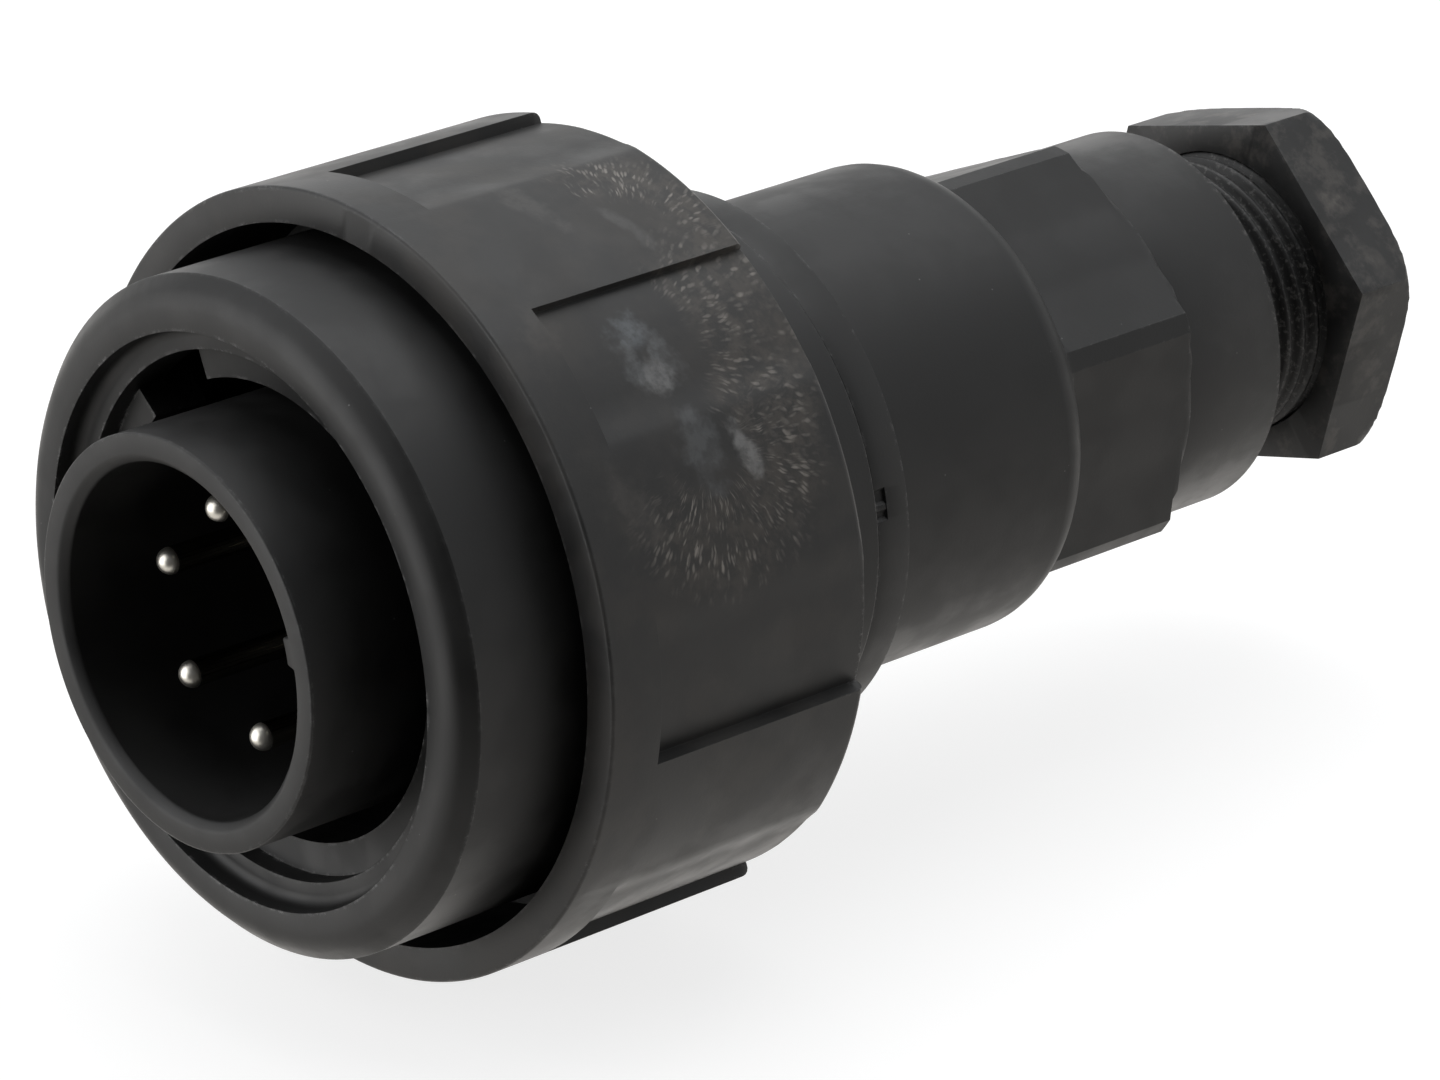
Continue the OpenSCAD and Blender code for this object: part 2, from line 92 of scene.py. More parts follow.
camera = linked("photo_camera", bpy.data.cameras.new("photo_camera"))
camera.location = CAMERA_PLACE
camera.rotation_euler = CAMERA_LOOK.to_track_quat("-Z", "Y").to_euler()
camera.data.sensor_width = SENSOR_MM
camera.data.lens = LENS_MM
camera.data.clip_start = CLIP_NEAR
camera.data.clip_end = CLIP_FAR
bpy.context.scene.camera = camera
print("camera:", LENS_MM, "mm lens")

# %% [markdown]
# ## One way to make every round piece
# Each moulding is round, but few are only round: one has flats, one has lands, one has ramps.
# A spin would give plain turned shapes, and a Boolean would leave ragged faces to clean up. So
# one loop of vertices is made, and it is extruded again and again along an outline. The radius
# of each new loop may change with the angle, and that is what cuts flats and hollows into it.
# Angles are called turns here. They are in degrees, and a positive turn goes down on the near
# side. A steep wall has two vertices side by side in every loop. Where both come out at almost
# the same place they are merged into one, so no sliver of a face is left beside the wall.

# %% The loop that walks along an outline
WALL_TURN = 0.03
WALL_MERGE = 1.8e-5
SAME_POINT = 1e-7
ROOM_AT_MARK = 0.55


def wrap(turn):
    """The same turn between -180 and 180 degrees."""
    return (turn + 180) % 360 - 180


def place(radius, turn, station):
    """A point in metres, from its distance to the axis, its turn and its station in mm."""
    a = math.radians(turn)
    return Vector((radius * math.cos(a), station, -radius * math.sin(a))) * MM


def turn_of(point):
    """The turn of a point about the plug's axis."""
    return math.degrees(math.atan2(-point.z, point.x))


def value(size, turn):
    """A size that is either one number or depends on the turn."""
    return size(turn) if callable(size) else size


def turns_with(step, corners=(), walls=()):
    """Even turns, with one vertex on each corner and two side by side at each steep wall."""
    marks = [*corners, *(w + d for w in walls for d in (-WALL_TURN, WALL_TURN))]
    count = round(360 / step)
    even = [360 * i / count - 180 for i in range(count)]
    clear = [t for t in even if all(abs(wrap(t - m)) > step * ROOM_AT_MARK for m in marks)]
    return sorted(wrap(t) for t in clear + marks)


def loft(outline, turns):
    """A closed ring: a loop of vertices is extruded from step to step of a round outline."""
    bm = bmesh.new()
    loop = bmesh.ops.create_circle(bm, segments=len(turns), radius=MM)["verts"]
    radius, station = outline[0]
    for vert, turn in zip(loop, turns):
        vert.co = place(value(radius, turn), turn, value(station, turn))
    edges = bm.edges[:]
    for radius, station in outline[1:] + outline[:1]:
        made = bmesh.ops.extrude_edge_only(bm, edges=edges)["geom"]
        edges = [g for g in made if isinstance(g, bmesh.types.BMEdge)]
        for vert in (g for g in made if isinstance(g, bmesh.types.BMVert)):
            turn = turn_of(vert.co)
            vert.co = place(value(radius, turn), turn, value(station, turn))
    bmesh.ops.remove_doubles(bm, verts=bm.verts[:], dist=WALL_MERGE)
    bmesh.ops.recalc_face_normals(bm, faces=bm.faces[:])
    return bm


print("loft: a steep wall is", 2 * WALL_TURN, "degrees wide")

# %% [markdown]
# ## Softened edges and a finished piece
# No moulded edge is a perfect corner, and a corner of no width never catches the light. A narrow
# bevel on every edge that turns by more than 22 degrees gives the thin highlights seen along the
# rims. A bevel may not run into the next edge, so on a piece with small steps or narrow walls it
# comes out thinner than asked. Smooth shading alone would smear the highlights over the big faces,
# so a Weighted Normal modifier lets the big faces keep their own direction.

# %% Bevels, and what each piece stands for
SHARP = math.radians(22)


def soften(bm, width, keep=None):
    """Bevels the sharp edges by width in mm; keep says which of them to leave alone."""
    sharp = [
        e for e in bm.edges
        if len(e.link_faces) == 2 and e.calc_face_angle() > SHARP and not (keep and keep(e))
    ]
    bmesh.ops.bevel(
        bm, geom=sharp, offset=width * MM, offset_type="OFFSET", affect="EDGES",
        segments=2, profile=0.5, material=-1, clamp_overlap=True,
    )
    bmesh.ops.remove_doubles(bm, verts=bm.verts[:], dist=SAME_POINT)


def finish_piece(name, bm, body, slot, *nodes):
    """Turns a bmesh into a piece that rides on a body and stands for CAD nodes."""
    for face in bm.faces:
        face.smooth = True
    mesh = bpy.data.meshes.new(name)
    bm.to_mesh(mesh)
    bm.free()
    obj = linked(name, mesh)
    even = obj.modifiers.new("even_shading", "WEIGHTED_NORMAL")
    even.keep_sharp = True
    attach(obj, body)
    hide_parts(*nodes)
    print(f"{name}: {len(mesh.polygons)} faces, stands for {', '.join(nodes)}")
    return obj


def arc(radius_mid, station_mid, r, start, end, steps=6):
    """Steps of an outline round a corner, from one angle to another in degrees."""
    angles = [math.radians(start + (end - start) * i / steps) for i in range(steps + 1)]
    return [(radius_mid + r * math.cos(a), station_mid + r * math.sin(a)) for a in angles]


def span(node):
    """Front station, rear station and outer radius of a CAD node, in mm."""
    low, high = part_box(node)
    return low.y / MM, high.y / MM, high.x / MM


print("shell spans", [round(v, 2) for v in span("plug_shell")])

# %% [markdown]
# ## The shell
# The shell is the part that the socket's shell slides over. It is one moulding from the thin
# shroud at the front to the tail that sits inside the rear body. A polarising key runs along the
# inside of the shroud. Seen from the front it is only a small step in the bore, so the bore's
# radius is simply smaller between two turns. A thin lip behind the hub closes the joint to the
# rear body to a fine line.

# %% Shell with its key
SHROUD_R = 7.5
SHROUD_BORE_R = 6.4
RIM_CHAMFER = 0.3
SEAL_SEAT = (7.3, 11.2, 12.0)
BARREL_R = 9.0
CLIP_GROOVE = (8.5, 13.2, 14.2)
HUB_AT, HUB_END = 19.1, 23.1
HUB_LIP_R, HUB_LIP_END = 8.7, 23.26
TAIL_R, TAIL_BORE_R = 7.4, 5.6
INSULATOR_END = 21.4
KEY_TURN, KEY_HALF, KEY_R = -15, 4.8, 5.95
KEY_END = 10.4
shell_front, shell_rear, hub_r = span("plug_shell")


def shroud_bore(turn):
    """Radius of the shroud's bore, smaller where the key stands."""
    return KEY_R if abs(wrap(turn - KEY_TURN)) < KEY_HALF else SHROUD_BORE_R


shell_outline = [
    (SHROUD_BORE_R + RIM_CHAMFER, shell_front),
    (SHROUD_R, shell_front),
    (SHROUD_R, SEAL_SEAT[1]),
    (SEAL_SEAT[0], SEAL_SEAT[1]),
    (SEAL_SEAT[0], SEAL_SEAT[2]),
    (BARREL_R, SEAL_SEAT[2]),
    (BARREL_R, CLIP_GROOVE[1]),
    (CLIP_GROOVE[0], CLIP_GROOVE[1]),
    (CLIP_GROOVE[0], CLIP_GROOVE[2]),
    (BARREL_R, CLIP_GROOVE[2]),
    (BARREL_R, HUB_AT),
    (hub_r, HUB_AT),
    (hub_r, HUB_LIP_END),
    (HUB_LIP_R, HUB_LIP_END),
    (HUB_LIP_R, HUB_END),
    (TAIL_R, HUB_END),
    (TAIL_R, shell_rear),
    (TAIL_BORE_R, shell_rear),
    (TAIL_BORE_R, INSULATOR_END),
    (SHROUD_BORE_R, INSULATOR_END),
    (SHROUD_BORE_R, KEY_END),
    (shroud_bore, KEY_END),
    (shroud_bore, shell_front + RIM_CHAMFER),
]
key_walls = [KEY_TURN - KEY_HALF, KEY_TURN + KEY_HALF]
bm = loft(shell_outline, turns_with(step=2, walls=key_walls))
soften(bm, width=0.09)
shell = finish_piece("shell_moulding", bm, "plug_body", "shell_plastic", "plug_shell")

# %% [markdown]
# ## The contact pins
# Each pin is turned from brass and plated. Its nose is a half ball, so that it finds its way into
# the socket. A pin is a plain turned shape, so here a spin is the natural tool: a few vertices
# draw half of the section, and a full spin about the pin's own axis closes it. The section lists
# radius and station, from behind the nose to the bottom of the solder cup.

# %% Six turned pins
PIN_R, PIN_TIP = 0.5, 2.4
PIN_SECTION = [
    (PIN_R, 10.4), (0.6, 10.4), (0.6, 14.675), (0.9, 14.675), (0.9, 16.0), (0.8, 16.0),
    (0.8, 25.9), (0.55, 25.9), (0.55, 19.6), (0.0, 19.6),
]
PIN_CIRCLE_R = 4.1
PIN_TURNS = [15 + 60 * i for i in range(6)]
PIN_NOSE_STEPS, PIN_SIDES = 8, 32


def turned_pin(turn):
    """One pin at its place on the circle, spun from half of its section."""
    nose = arc(0, PIN_TIP + PIN_R, PIN_R, -90, 0, steps=PIN_NOSE_STEPS)
    foot = place(PIN_CIRCLE_R, turn, 0)
    bm = bmesh.new()
    verts = [bm.verts.new(foot + Vector((r, s, 0)) * MM) for r, s in nose + PIN_SECTION]
    edges = [bm.edges.new(pair) for pair in zip(verts, verts[1:])]
    bmesh.ops.spin(
        bm, geom=verts + edges, cent=foot, axis=(0, 1, 0), angle=math.tau, steps=PIN_SIDES,
        use_merge=True, use_duplicate=False,
    )
    bmesh.ops.remove_doubles(bm, verts=bm.verts[:], dist=SAME_POINT)
    bmesh.ops.recalc_face_normals(bm, faces=bm.faces[:])
    return bm


pins = []
for number, turn in enumerate(PIN_TURNS, 1):
    bm = turned_pin(turn)
    soften(bm, width=0.04)
    name = f"plated_pin_{number}"
    pins.append(finish_piece(name, bm, "plug_body", "contact_metal", f"contact_pin_{number}"))

# %% [markdown]
# ## The bayonet collar
# The collar turns on the shell and pulls the socket in. Three ramps stand inwards from its wall,
# with slots between them for the socket's studs. The back of each ramp leans like a screw thread.
# In the loft the ramps are three stretches of turns where the inner loops come closer to the
# axis, and the lean is a station that changes with the turn. The lip in front is a roll that runs
# out into a narrow slope with a crisp outer edge.

# %% Collar with its ramps
COLLAR_R, COLLAR_BORE_R = 12.3, 10.4
LIP_ROLL_R, LIP_MIDDLE_R = 1.15, 11.09
LIP_LEAN, LIP_EDGE_AT = 46, 3.35
RAMP_TURNS = [53, 173, 293]
RAMP_HALF = 47
RAMP_R, RAMP_AT, RAMP_BACK = 8.35, 4.3, 6.0
RAMP_LEAN = math.tan(math.radians(5))
LEDGE_R, LEDGE_AT, LEDGE_END, LEDGE_FILLET = 9.55, 3.5, 5.3, 0.4
WEB_R, WEB_AT = 9.06, 14.3
CLIP_ROOM_R, CLIP_ROOM_AT = 10.1, 13.0
collar_front, collar_rear, _ = span("bayonet_collar")


def ramp_offset(turn):
    """Turn from the middle of the ramp that this turn lies on, or None in a slot."""
    offsets = [wrap(turn - middle) for middle in RAMP_TURNS]
    return next((o for o in offsets if abs(o) < RAMP_HALF), None)


def ramp_or(on_ramp, in_slot):
    """A size with one value on the ramps and another in the slots between them."""
    return lambda turn: in_slot if ramp_offset(turn) is None else on_ramp


def ramp_back(radius):
    """Station of the leaning back of the ramps at this radius."""
    def station(turn):
        offset = ramp_offset(turn)
        if offset is None:
            return LEDGE_END
        return RAMP_BACK + radius * math.sin(math.radians(offset)) * RAMP_LEAN
    return station


roll_middle = (LIP_MIDDLE_R, collar_front + LIP_ROLL_R)
fillet_middle = (COLLAR_BORE_R - LEDGE_FILLET, LEDGE_AT - LEDGE_FILLET)
collar_outline = [
    (COLLAR_BORE_R, collar_front),
    *arc(*roll_middle, LIP_ROLL_R, -90, LIP_LEAN - 90, steps=8),
    (COLLAR_R, LIP_EDGE_AT),
    (COLLAR_R, collar_rear),
    (WEB_R, collar_rear),
    (WEB_R, WEB_AT),
    (CLIP_ROOM_R, WEB_AT),
    (CLIP_ROOM_R, CLIP_ROOM_AT),
    (COLLAR_BORE_R, CLIP_ROOM_AT),
    (COLLAR_BORE_R, ramp_back(COLLAR_BORE_R)),
    (ramp_or(RAMP_R, LEDGE_R), ramp_back(RAMP_R)),
    (ramp_or(RAMP_R, LEDGE_R), RAMP_AT),
    (LEDGE_R, RAMP_AT),
    (LEDGE_R, LEDGE_AT),
    *arc(*fillet_middle, LEDGE_FILLET, 90, 0),
]
ramp_walls = [m + side * RAMP_HALF for m in RAMP_TURNS for side in (-1, 1)]
bm = loft(collar_outline, turns_with(step=2, walls=ramp_walls))
soften(bm, width=0.09)
collar = finish_piece("collar_moulding", bm, "coupling", "collar_plastic", "bayonet_collar")

# %% [markdown]
# ## The grip ring
# Fingers turn the collar by this ring. Behind a plain band it has eight raised lands with shallow
# hollows between them. Each hollow starts with a short slope, deepens slowly and ends at a steep
# wall under the next land. Those walls are the dark lines that are seen along the ring. The two
# that face the camera are not alike, so the depth at each wall is listed.

# %% Grip ring with lands and hollows
GRIP_GROOVE_R, GRIP_SEAT_R, GRIP_REAR_R = 13.1, 12.35, 10.7
GRIP_SEAT_AT, GRIP_SEAT_END = 12.55, 17.3
GRIP_BAND = 2.2
GRIP_EDGE, GRIP_ROUND = 0.15, 0.35
WALL_DEPTHS = [0.55, 0.45, 0.45, 0.45, 0.45, 0.45, 0.45, 0.33]
SLOPE_DEPTH = 0.26
HOLLOW_TURNS = [-1 + 45 * i for i in range(8)]
HOLLOW_SIDES = [1, 1, -1, -1, 1, 1, -1, -1]
HOLLOW_HALF, HOLLOW_SLOPE = 11.25, 5.0
grip_front, grip_rear, grip_r = span("grip_ring")


def land_depth(turn):
    """How far the ring's surface lies under the lands at this turn, in mm."""
    for middle, side, deepest in zip(HOLLOW_TURNS, HOLLOW_SIDES, WALL_DEPTHS):
        into = wrap(turn - middle) * side + HOLLOW_HALF
        if 0 < into < HOLLOW_SLOPE:
            return SLOPE_DEPTH * into / HOLLOW_SLOPE
        if HOLLOW_SLOPE <= into < 2 * HOLLOW_HALF:
            share = (into - HOLLOW_SLOPE) / (2 * HOLLOW_HALF - HOLLOW_SLOPE)
            return SLOPE_DEPTH + (deepest - SLOPE_DEPTH) * share
    return 0


def land_under(limit):
    """Radius of the lands and hollows, no larger than a limit."""
    return lambda turn: min(limit, grip_r - land_depth(turn))


rear_round = arc(grip_r - GRIP_ROUND, grip_rear - GRIP_ROUND, GRIP_ROUND, 0, 90, steps=4)
grip_outline = [
    (GRIP_GROOVE_R, grip_front),
    *arc(grip_r - GRIP_EDGE, grip_front + GRIP_EDGE, GRIP_EDGE, -90, 0, steps=3),
    (grip_r, grip_front + GRIP_BAND),
    (land_under(grip_r), grip_front + GRIP_BAND),
    *((land_under(radius), station) for radius, station in rear_round),
    (GRIP_REAR_R, grip_rear),
    (GRIP_REAR_R, GRIP_SEAT_END),
    (GRIP_SEAT_R, GRIP_SEAT_END),
    (GRIP_SEAT_R, GRIP_SEAT_AT),
    (GRIP_GROOVE_R, GRIP_SEAT_AT),
]
steep = [m + s * HOLLOW_HALF for m, s in zip(HOLLOW_TURNS, HOLLOW_SIDES)]
gentle = [
    m + s * (end - HOLLOW_HALF)
    for m, s in zip(HOLLOW_TURNS, HOLLOW_SIDES) for end in (0, HOLLOW_SLOPE)
]
bm = loft(grip_outline, turns_with(step=1.5, corners=gentle, walls=steep))
soften(bm, width=0.08)
grip = finish_piece("grip_moulding", bm, "coupling", "grip_plastic", "grip_ring")

# %% [markdown]
# ## The rear body
# The rear body carries the cable gland. From the front it has a thin flange with a shallow latch
# notch, a plain barrel with a round shoulder, six flats for a spanner, a neck and a fine male
# thread. A small lug stands in the notch, so the notch's depth is listed turn by turn. Notch and
# flats could be cut with planes. Here they are radii that depend on the turn, as on the ring, and
# this cell only writes those radii down.

# %% Radii of the rear body
FLANGE_END = 24.85
BODY_R, SHOULDER, FLATS_AT = 9.0, 1.4, 35.35
FLATS_END, FLATS_AF, FLATS_R, FLATS_TURN = 41.75, 15.0, 8.45, -24
NECK_R, NECK_END = 7.35, 46.65
LATCH_LENGTH = 0.5
LATCH_DEPTHS = [
    (-13.4, 0), (-12.7, 0.16), (-10.5, 0.16), (-9.9, 0.04),
    (-8.9, 0.04), (-8.3, 0.16), (-7.3, 0.16), (-6.6, 0),
]
body_front, body_rear, flange_r = span("rear_body")


def hexagon(across, corner_turn):
    """Radius of a hexagon of this width across its flats."""
    return lambda turn: across / 2 / math.cos(math.radians((turn - corner_turn) % 60 - 30))


def latch(turn):
    """Radius of the flange's front edge, lower in the latch's notch on both sides of its lug."""
    turn = wrap(turn)
    for (low, first), (high, last) in zip(LATCH_DEPTHS, LATCH_DEPTHS[1:]):
        if low <= turn < high:
            return flange_r - first - (last - first) * (turn - low) / (high - low)
    return flange_r


def flats(turn):
    """Radius of the spanner flats and of the turned corners between them."""
    return min(FLATS_R, hexagon(FLATS_AF, FLATS_TURN)(turn))


def flats_between(low, high):
    """Radius of the flats, no smaller than low and no larger than high."""
    return lambda turn: min(high, max(low, flats(turn)))


print("rear body spans", [round(v, 2) for v in (body_front, body_rear, flange_r)])

# %% [markdown]
# ## The gland thread
# The solid keeps the thread as a plain core, and here it gets its ridges. A Screw modifier would
# give a loose coil that still has to be joined to the core. In the loft the radius rises and falls
# with the station, and one turn shifts it by one pitch, which makes it a true screw.

# %% Gland thread
CORE_R, THREAD_DEPTH, THREAD_PITCH = 5.15, 0.35, 0.75
THREAD_FADE_IN, THREAD_FADE_OUT = 0.5, 0.3
RIDGE_PEAK, RIDGE_FLANK = 1.5, 4
THREAD_STEPS = 66


def ridge(station):
    """Radius of the gland thread at one station, with ridges that fade out at both ends."""
    risen = (station - NECK_END) / THREAD_FADE_IN
    left = (body_rear - station) / THREAD_FADE_OUT
    fade = max(0, min(1, risen, left))

    def radius(turn):
        phase = (station / THREAD_PITCH - turn / 360) % 1
        rise = min(1, max(0, RIDGE_PEAK - RIDGE_FLANK * abs(phase - 0.5)))
        return CORE_R + THREAD_DEPTH * fade * rise
    return radius


thread_length = body_rear - NECK_END
thread_stations = [NECK_END + thread_length * i / THREAD_STEPS for i in range(THREAD_STEPS + 1)]
print("thread:", round(thread_length / THREAD_PITCH, 1), "turns")

# %% [markdown]
# ## Along the rear body
# The outline starts at the flange's front edge, goes back along the outside to the end of the
# thread and returns through the bores. A bevel would eat the thread's small ridges, so the edges
# on them are left alone.

# %% Rear body
SEAT_BORES = [
    (4.2, 52.15), (4.2, 42.15), (3.1, 42.15), (3.1, 40.6),
    (5.65, 38.05), (5.65, 30.2), (7.45, 30.2), (7.45, 24.1), (8.45, 24.1), (8.45, 23.35),
]
JUST_UNDER = 0.99
chamfer = FLATS_R - FLATS_AF / 2
shoulder = arc(BODY_R - SHOULDER, FLATS_AT - SHOULDER, SHOULDER, 0, 90, steps=8)
body_outline = [
    (latch, body_front),
    (latch, body_front + LATCH_LENGTH),
    (flange_r, body_front + LATCH_LENGTH),
    (flange_r, FLANGE_END),
    (BODY_R, FLANGE_END),
    *((flats_between(r, BODY_R), s) for r, s in shoulder),
    (flats, FLATS_END - chamfer / 2),
    (flats_between(0, FLATS_R - chamfer / 2), FLATS_END - chamfer / 4),
    (FLATS_AF / 2, FLATS_END),
    (NECK_R, FLATS_END),
    (NECK_R, NECK_END),
    *((ridge(s), s) for s in thread_stations),
    *SEAT_BORES,
]


def on_thread(edge):
    """Whether an edge lies on the outside of the gland thread."""
    thread_r = CORE_R * MM * JUST_UNDER
    return all(v.co.y > NECK_END * MM and v.co.xz.length > thread_r for v in edge.verts)


turned_half = math.degrees(math.acos(FLATS_AF / 2 / FLATS_R))
flat_edges = [FLATS_TURN + 60 * i + 30 + d for i in range(6) for d in (-turned_half, turned_half)]
latch_edges = [turn for turn, _ in LATCH_DEPTHS]
bm = loft(body_outline, turns_with(step=2, corners=flat_edges + latch_edges))
soften(bm, width=0.1, keep=on_thread)
rear = finish_piece("rear_moulding", bm, "plug_body", "body_plastic", "rear_body")

# %% [markdown]
# ## The gland nut
# The nut squeezes the grommet onto a cable when it is screwed on. It is a hexagon with crisp front
# corners and rounded rear ones. The rounding is a limit on the hexagon's radius that changes along
# the axis, so one more loft does it.

# %% Gland nut
NUT_AF, NUT_TURN = 13.15, -15
NUT_BORE_R, NUT_FLOOR = 5.56, 53.45
ENTRY_R, ENTRY_CHAMFER = 3.0, 0.2
NUT_ROUND = 1.0
nut_front, nut_rear, _ = span("gland_nut")
nut_hexagon = hexagon(NUT_AF, NUT_TURN)
nut_corner_r = nut_hexagon(NUT_TURN)


def nut_under(limit):
    """Radius of the nut's hexagon, no larger than a limit."""
    return lambda turn: min(limit, nut_hexagon(turn))


nut_back = arc(nut_corner_r - NUT_ROUND, nut_rear - NUT_ROUND, NUT_ROUND, 0, 90, steps=8)
nut_outline = [
    (NUT_BORE_R, nut_front),
    (nut_hexagon, nut_front),
    *((nut_under(r), s) for r, s in nut_back),
    (ENTRY_R + ENTRY_CHAMFER, nut_rear),
    (ENTRY_R, nut_rear - ENTRY_CHAMFER),
    (ENTRY_R, NUT_FLOOR),
    (NUT_BORE_R, NUT_FLOOR),
]
nut_corners = [NUT_TURN + 60 * i for i in range(6)]
bm = loft(nut_outline, turns_with(step=2, corners=nut_corners))
soften(bm, width=0.12)
nut = finish_piece("nut_moulding", bm, "gland_turn", "nut_plastic", "gland_nut")

# %% [markdown]
# ## Finishes: a short way to write nodes
# Shader nodes are wordy in code. These helpers make a node, set its values and link its inputs in
# one call, so that each finish below reads almost like a recipe. Coordinates are taken in
# millimetres, because then the size of a grain can be read from the number.

# %% Node helpers
def add(tree, kind, inputs=None, **settings):
    """A shader node; inputs maps socket names or numbers to values or to other sockets."""
    node = tree.nodes.new("ShaderNode" + kind)
    for key, setting in settings.items():
        setattr(node, key, setting)
    for key, given in (inputs or {}).items():
        if isinstance(given, bpy.types.NodeSocket):
            tree.links.new(given, node.inputs[key])
        else:
            node.inputs[key].default_value = given
    return node


def calc(tree, operation, *inputs):
    """The result of one Math node."""
    return add(tree, "Math", dict(enumerate(inputs)), operation=operation).outputs[0]


def times(tree, product, *others):
    """The product of two or more values."""
    for other in others:
        product = calc(tree, "MULTIPLY", product, other)
    return product


def length(tree, first, second):
    """The length of a flat vector."""
    squares = times(tree, first, first), times(tree, second, second)
    return calc(tree, "SQRT", calc(tree, "ADD", *squares))


def between(tree, given, low, high, to_low=0.0, to_high=1.0):
    """A value moved smoothly from one range to another."""
    inputs = {
        "Value": given, "From Min": low, "From Max": high, "To Min": to_low, "To Max": to_high,
    }
    return add(tree, "MapRange", inputs, interpolation_type="SMOOTHSTEP").outputs["Result"]


def in_mm(tree):
    """Object coordinates in millimetres."""
    coords = add(tree, "TexCoord").outputs["Object"]
    return add(tree, "VectorMath", {0: coords, "Scale": 1 / MM}, operation="SCALE").outputs[0]


def axes_mm(tree):
    """The three Object coordinates in millimetres, one by one."""
    return add(tree, "SeparateXYZ", {0: in_mm(tree)}).outputs


print("node helpers ready")

# %% [markdown]
# ## Noise and node groups
# Most marks on plastic are noise with its middle values spread out, so one helper does both. An
# effect that several finishes share goes into a node group. A group has named inputs, and each
# material that uses it may set them to its own values.

# %% Noise and group helpers
def noise(tree, where, scale, detail=2.0, roughness=0.5):
    """A noise value from 0 to 1; scale is in waves a millimetre."""
    inputs = {"Vector": where, "Scale": scale, "Detail": detail, "Roughness": roughness}
    return add(tree, "TexNoise", inputs).outputs[0]


def patches(tree, low, high, to_low=0.0, to_high=1.0, **waves):
    """Noise over the piece, with the values from low to high spread to another range."""
    return between(tree, noise(tree, in_mm(tree), **waves), low, high, to_low, to_high)


def new_group(name, inputs, outputs):
    """An empty node group with named inputs and outputs, and its two end nodes."""
    tree = bpy.data.node_groups.new(name, "ShaderNodeTree")
    for socket, default in inputs.items():
        made = tree.interface.new_socket(socket, in_out="INPUT", socket_type="NodeSocketFloat")
        made.default_value = default
    for socket in outputs:
        tree.interface.new_socket(socket, in_out="OUTPUT", socket_type="NodeSocketFloat")
    return tree, tree.nodes.new("NodeGroupInput").outputs, tree.nodes.new("NodeGroupOutput").inputs


def group_node(tree, group, **given):
    """A group placed in a material, with its own values; underscores stand for spaces."""
    node = add(tree, "Group")
    node.node_tree = group
    for key, number in given.items():
        node.inputs[key.replace("_", " ")].default_value = number
    return node.outputs


print("group helpers ready")

# %% [markdown]
# ## The moulded skin
# Glass-filled black plastic is never one even black. It has a fine etched grain from the mould,
# cloudy patches where it flowed, and a few pale specks of dust. One group makes all of these, so
# that every moulding is plainly the same stuff, and each material only sets how strong they are.

# %% Group: moulded skin
GRAIN_MM, CLOUD_MM = 0.12, 3.0
SPECK_SCALE, SPECK_RARITY = 1.1, 0.72
skin, skin_in, skin_out = new_group(
    "moulded_skin", {"Grain Size": GRAIN_MM, "Cloud Size": CLOUD_MM}, ["Grain", "Clouds", "Specks"]
)
where = in_mm(skin)
grain_scale = calc(skin, "DIVIDE", 1.0, skin_in["Grain Size"])
cloud_scale = calc(skin, "DIVIDE", 1.0, skin_in["Cloud Size"])
clouds = noise(skin, where, cloud_scale, detail=4.0, roughness=0.6)
cells = add(skin, "TexVoronoi", {"Vector": where, "Scale": SPECK_SCALE, "Randomness": 1.0})
dots = between(skin, cells.outputs["Distance"], 0.05, 0.02)
cell_value = add(skin, "SeparateColor", {0: cells.outputs["Color"]}).outputs[0]
chosen = calc(skin, "GREATER_THAN", cell_value, SPECK_RARITY)
skin.links.new(noise(skin, where, grain_scale, detail=3.0, roughness=0.6), skin_out["Grain"])
skin.links.new(between(skin, clouds, 0.3, 0.7), skin_out["Clouds"])
skin.links.new(times(skin, dots, chosen), skin_out["Specks"])
print("group:", skin.name)

# %% [markdown]
# ## Rubbed edges
# Handling polishes and scrapes the outer edges, and the photograph shows them as thin broken pale
# lines. The Bevel node gives a normal that is averaged over a small distance. Where it leans away
# from the true normal there is an edge. A coarse noise breaks the line up, and a fine one leaves
# bright chips on it.

# %% Group: rubbed edges
RUB_WIDTH_MM, RUB_BREAK, RUB_LINE = 0.26, 0.5, 0.45
rub, rub_in, rub_out = new_group(
    "rubbed_edges", {"Width": RUB_WIDTH_MM, "Break": RUB_BREAK}, ["Rub"]
)
width = times(rub, rub_in["Width"], MM)
rounded = add(rub, "Bevel", {"Radius": width}, samples=4).outputs[0]
true = add(rub, "NewGeometry").outputs["Normal"]
alike = add(rub, "VectorMath", {0: rounded, 1: true}, operation="DOT_PRODUCT").outputs["Value"]
edge = between(rub, alike, 0.97, 0.88)
patchy = noise(rub, in_mm(rub), scale=2.2, detail=4.0, roughness=0.7)
beyond = calc(rub, "SUBTRACT", patchy, rub_in["Break"])
shown = between(rub, beyond, 0.0, 0.12, to_high=RUB_LINE)
chips = patches(rub, 0.53, 0.66, scale=6.0, detail=2.0, roughness=0.6)
chips = times(rub, chips, between(rub, patchy, 0.42, 0.6))
rub.links.new(times(rub, edge, calc(rub, "MAXIMUM", shown, chips)), rub_out["Rub"])
print("group:", rub.name)

# %% [markdown]
# ## A round surface laid flat
# The marks on the ring and the nut are placed by turn and station, as on a label that is peeled
# off and laid flat. The turn of a point comes from its coordinates, and multiplied by the radius
# it is a length along the arc.

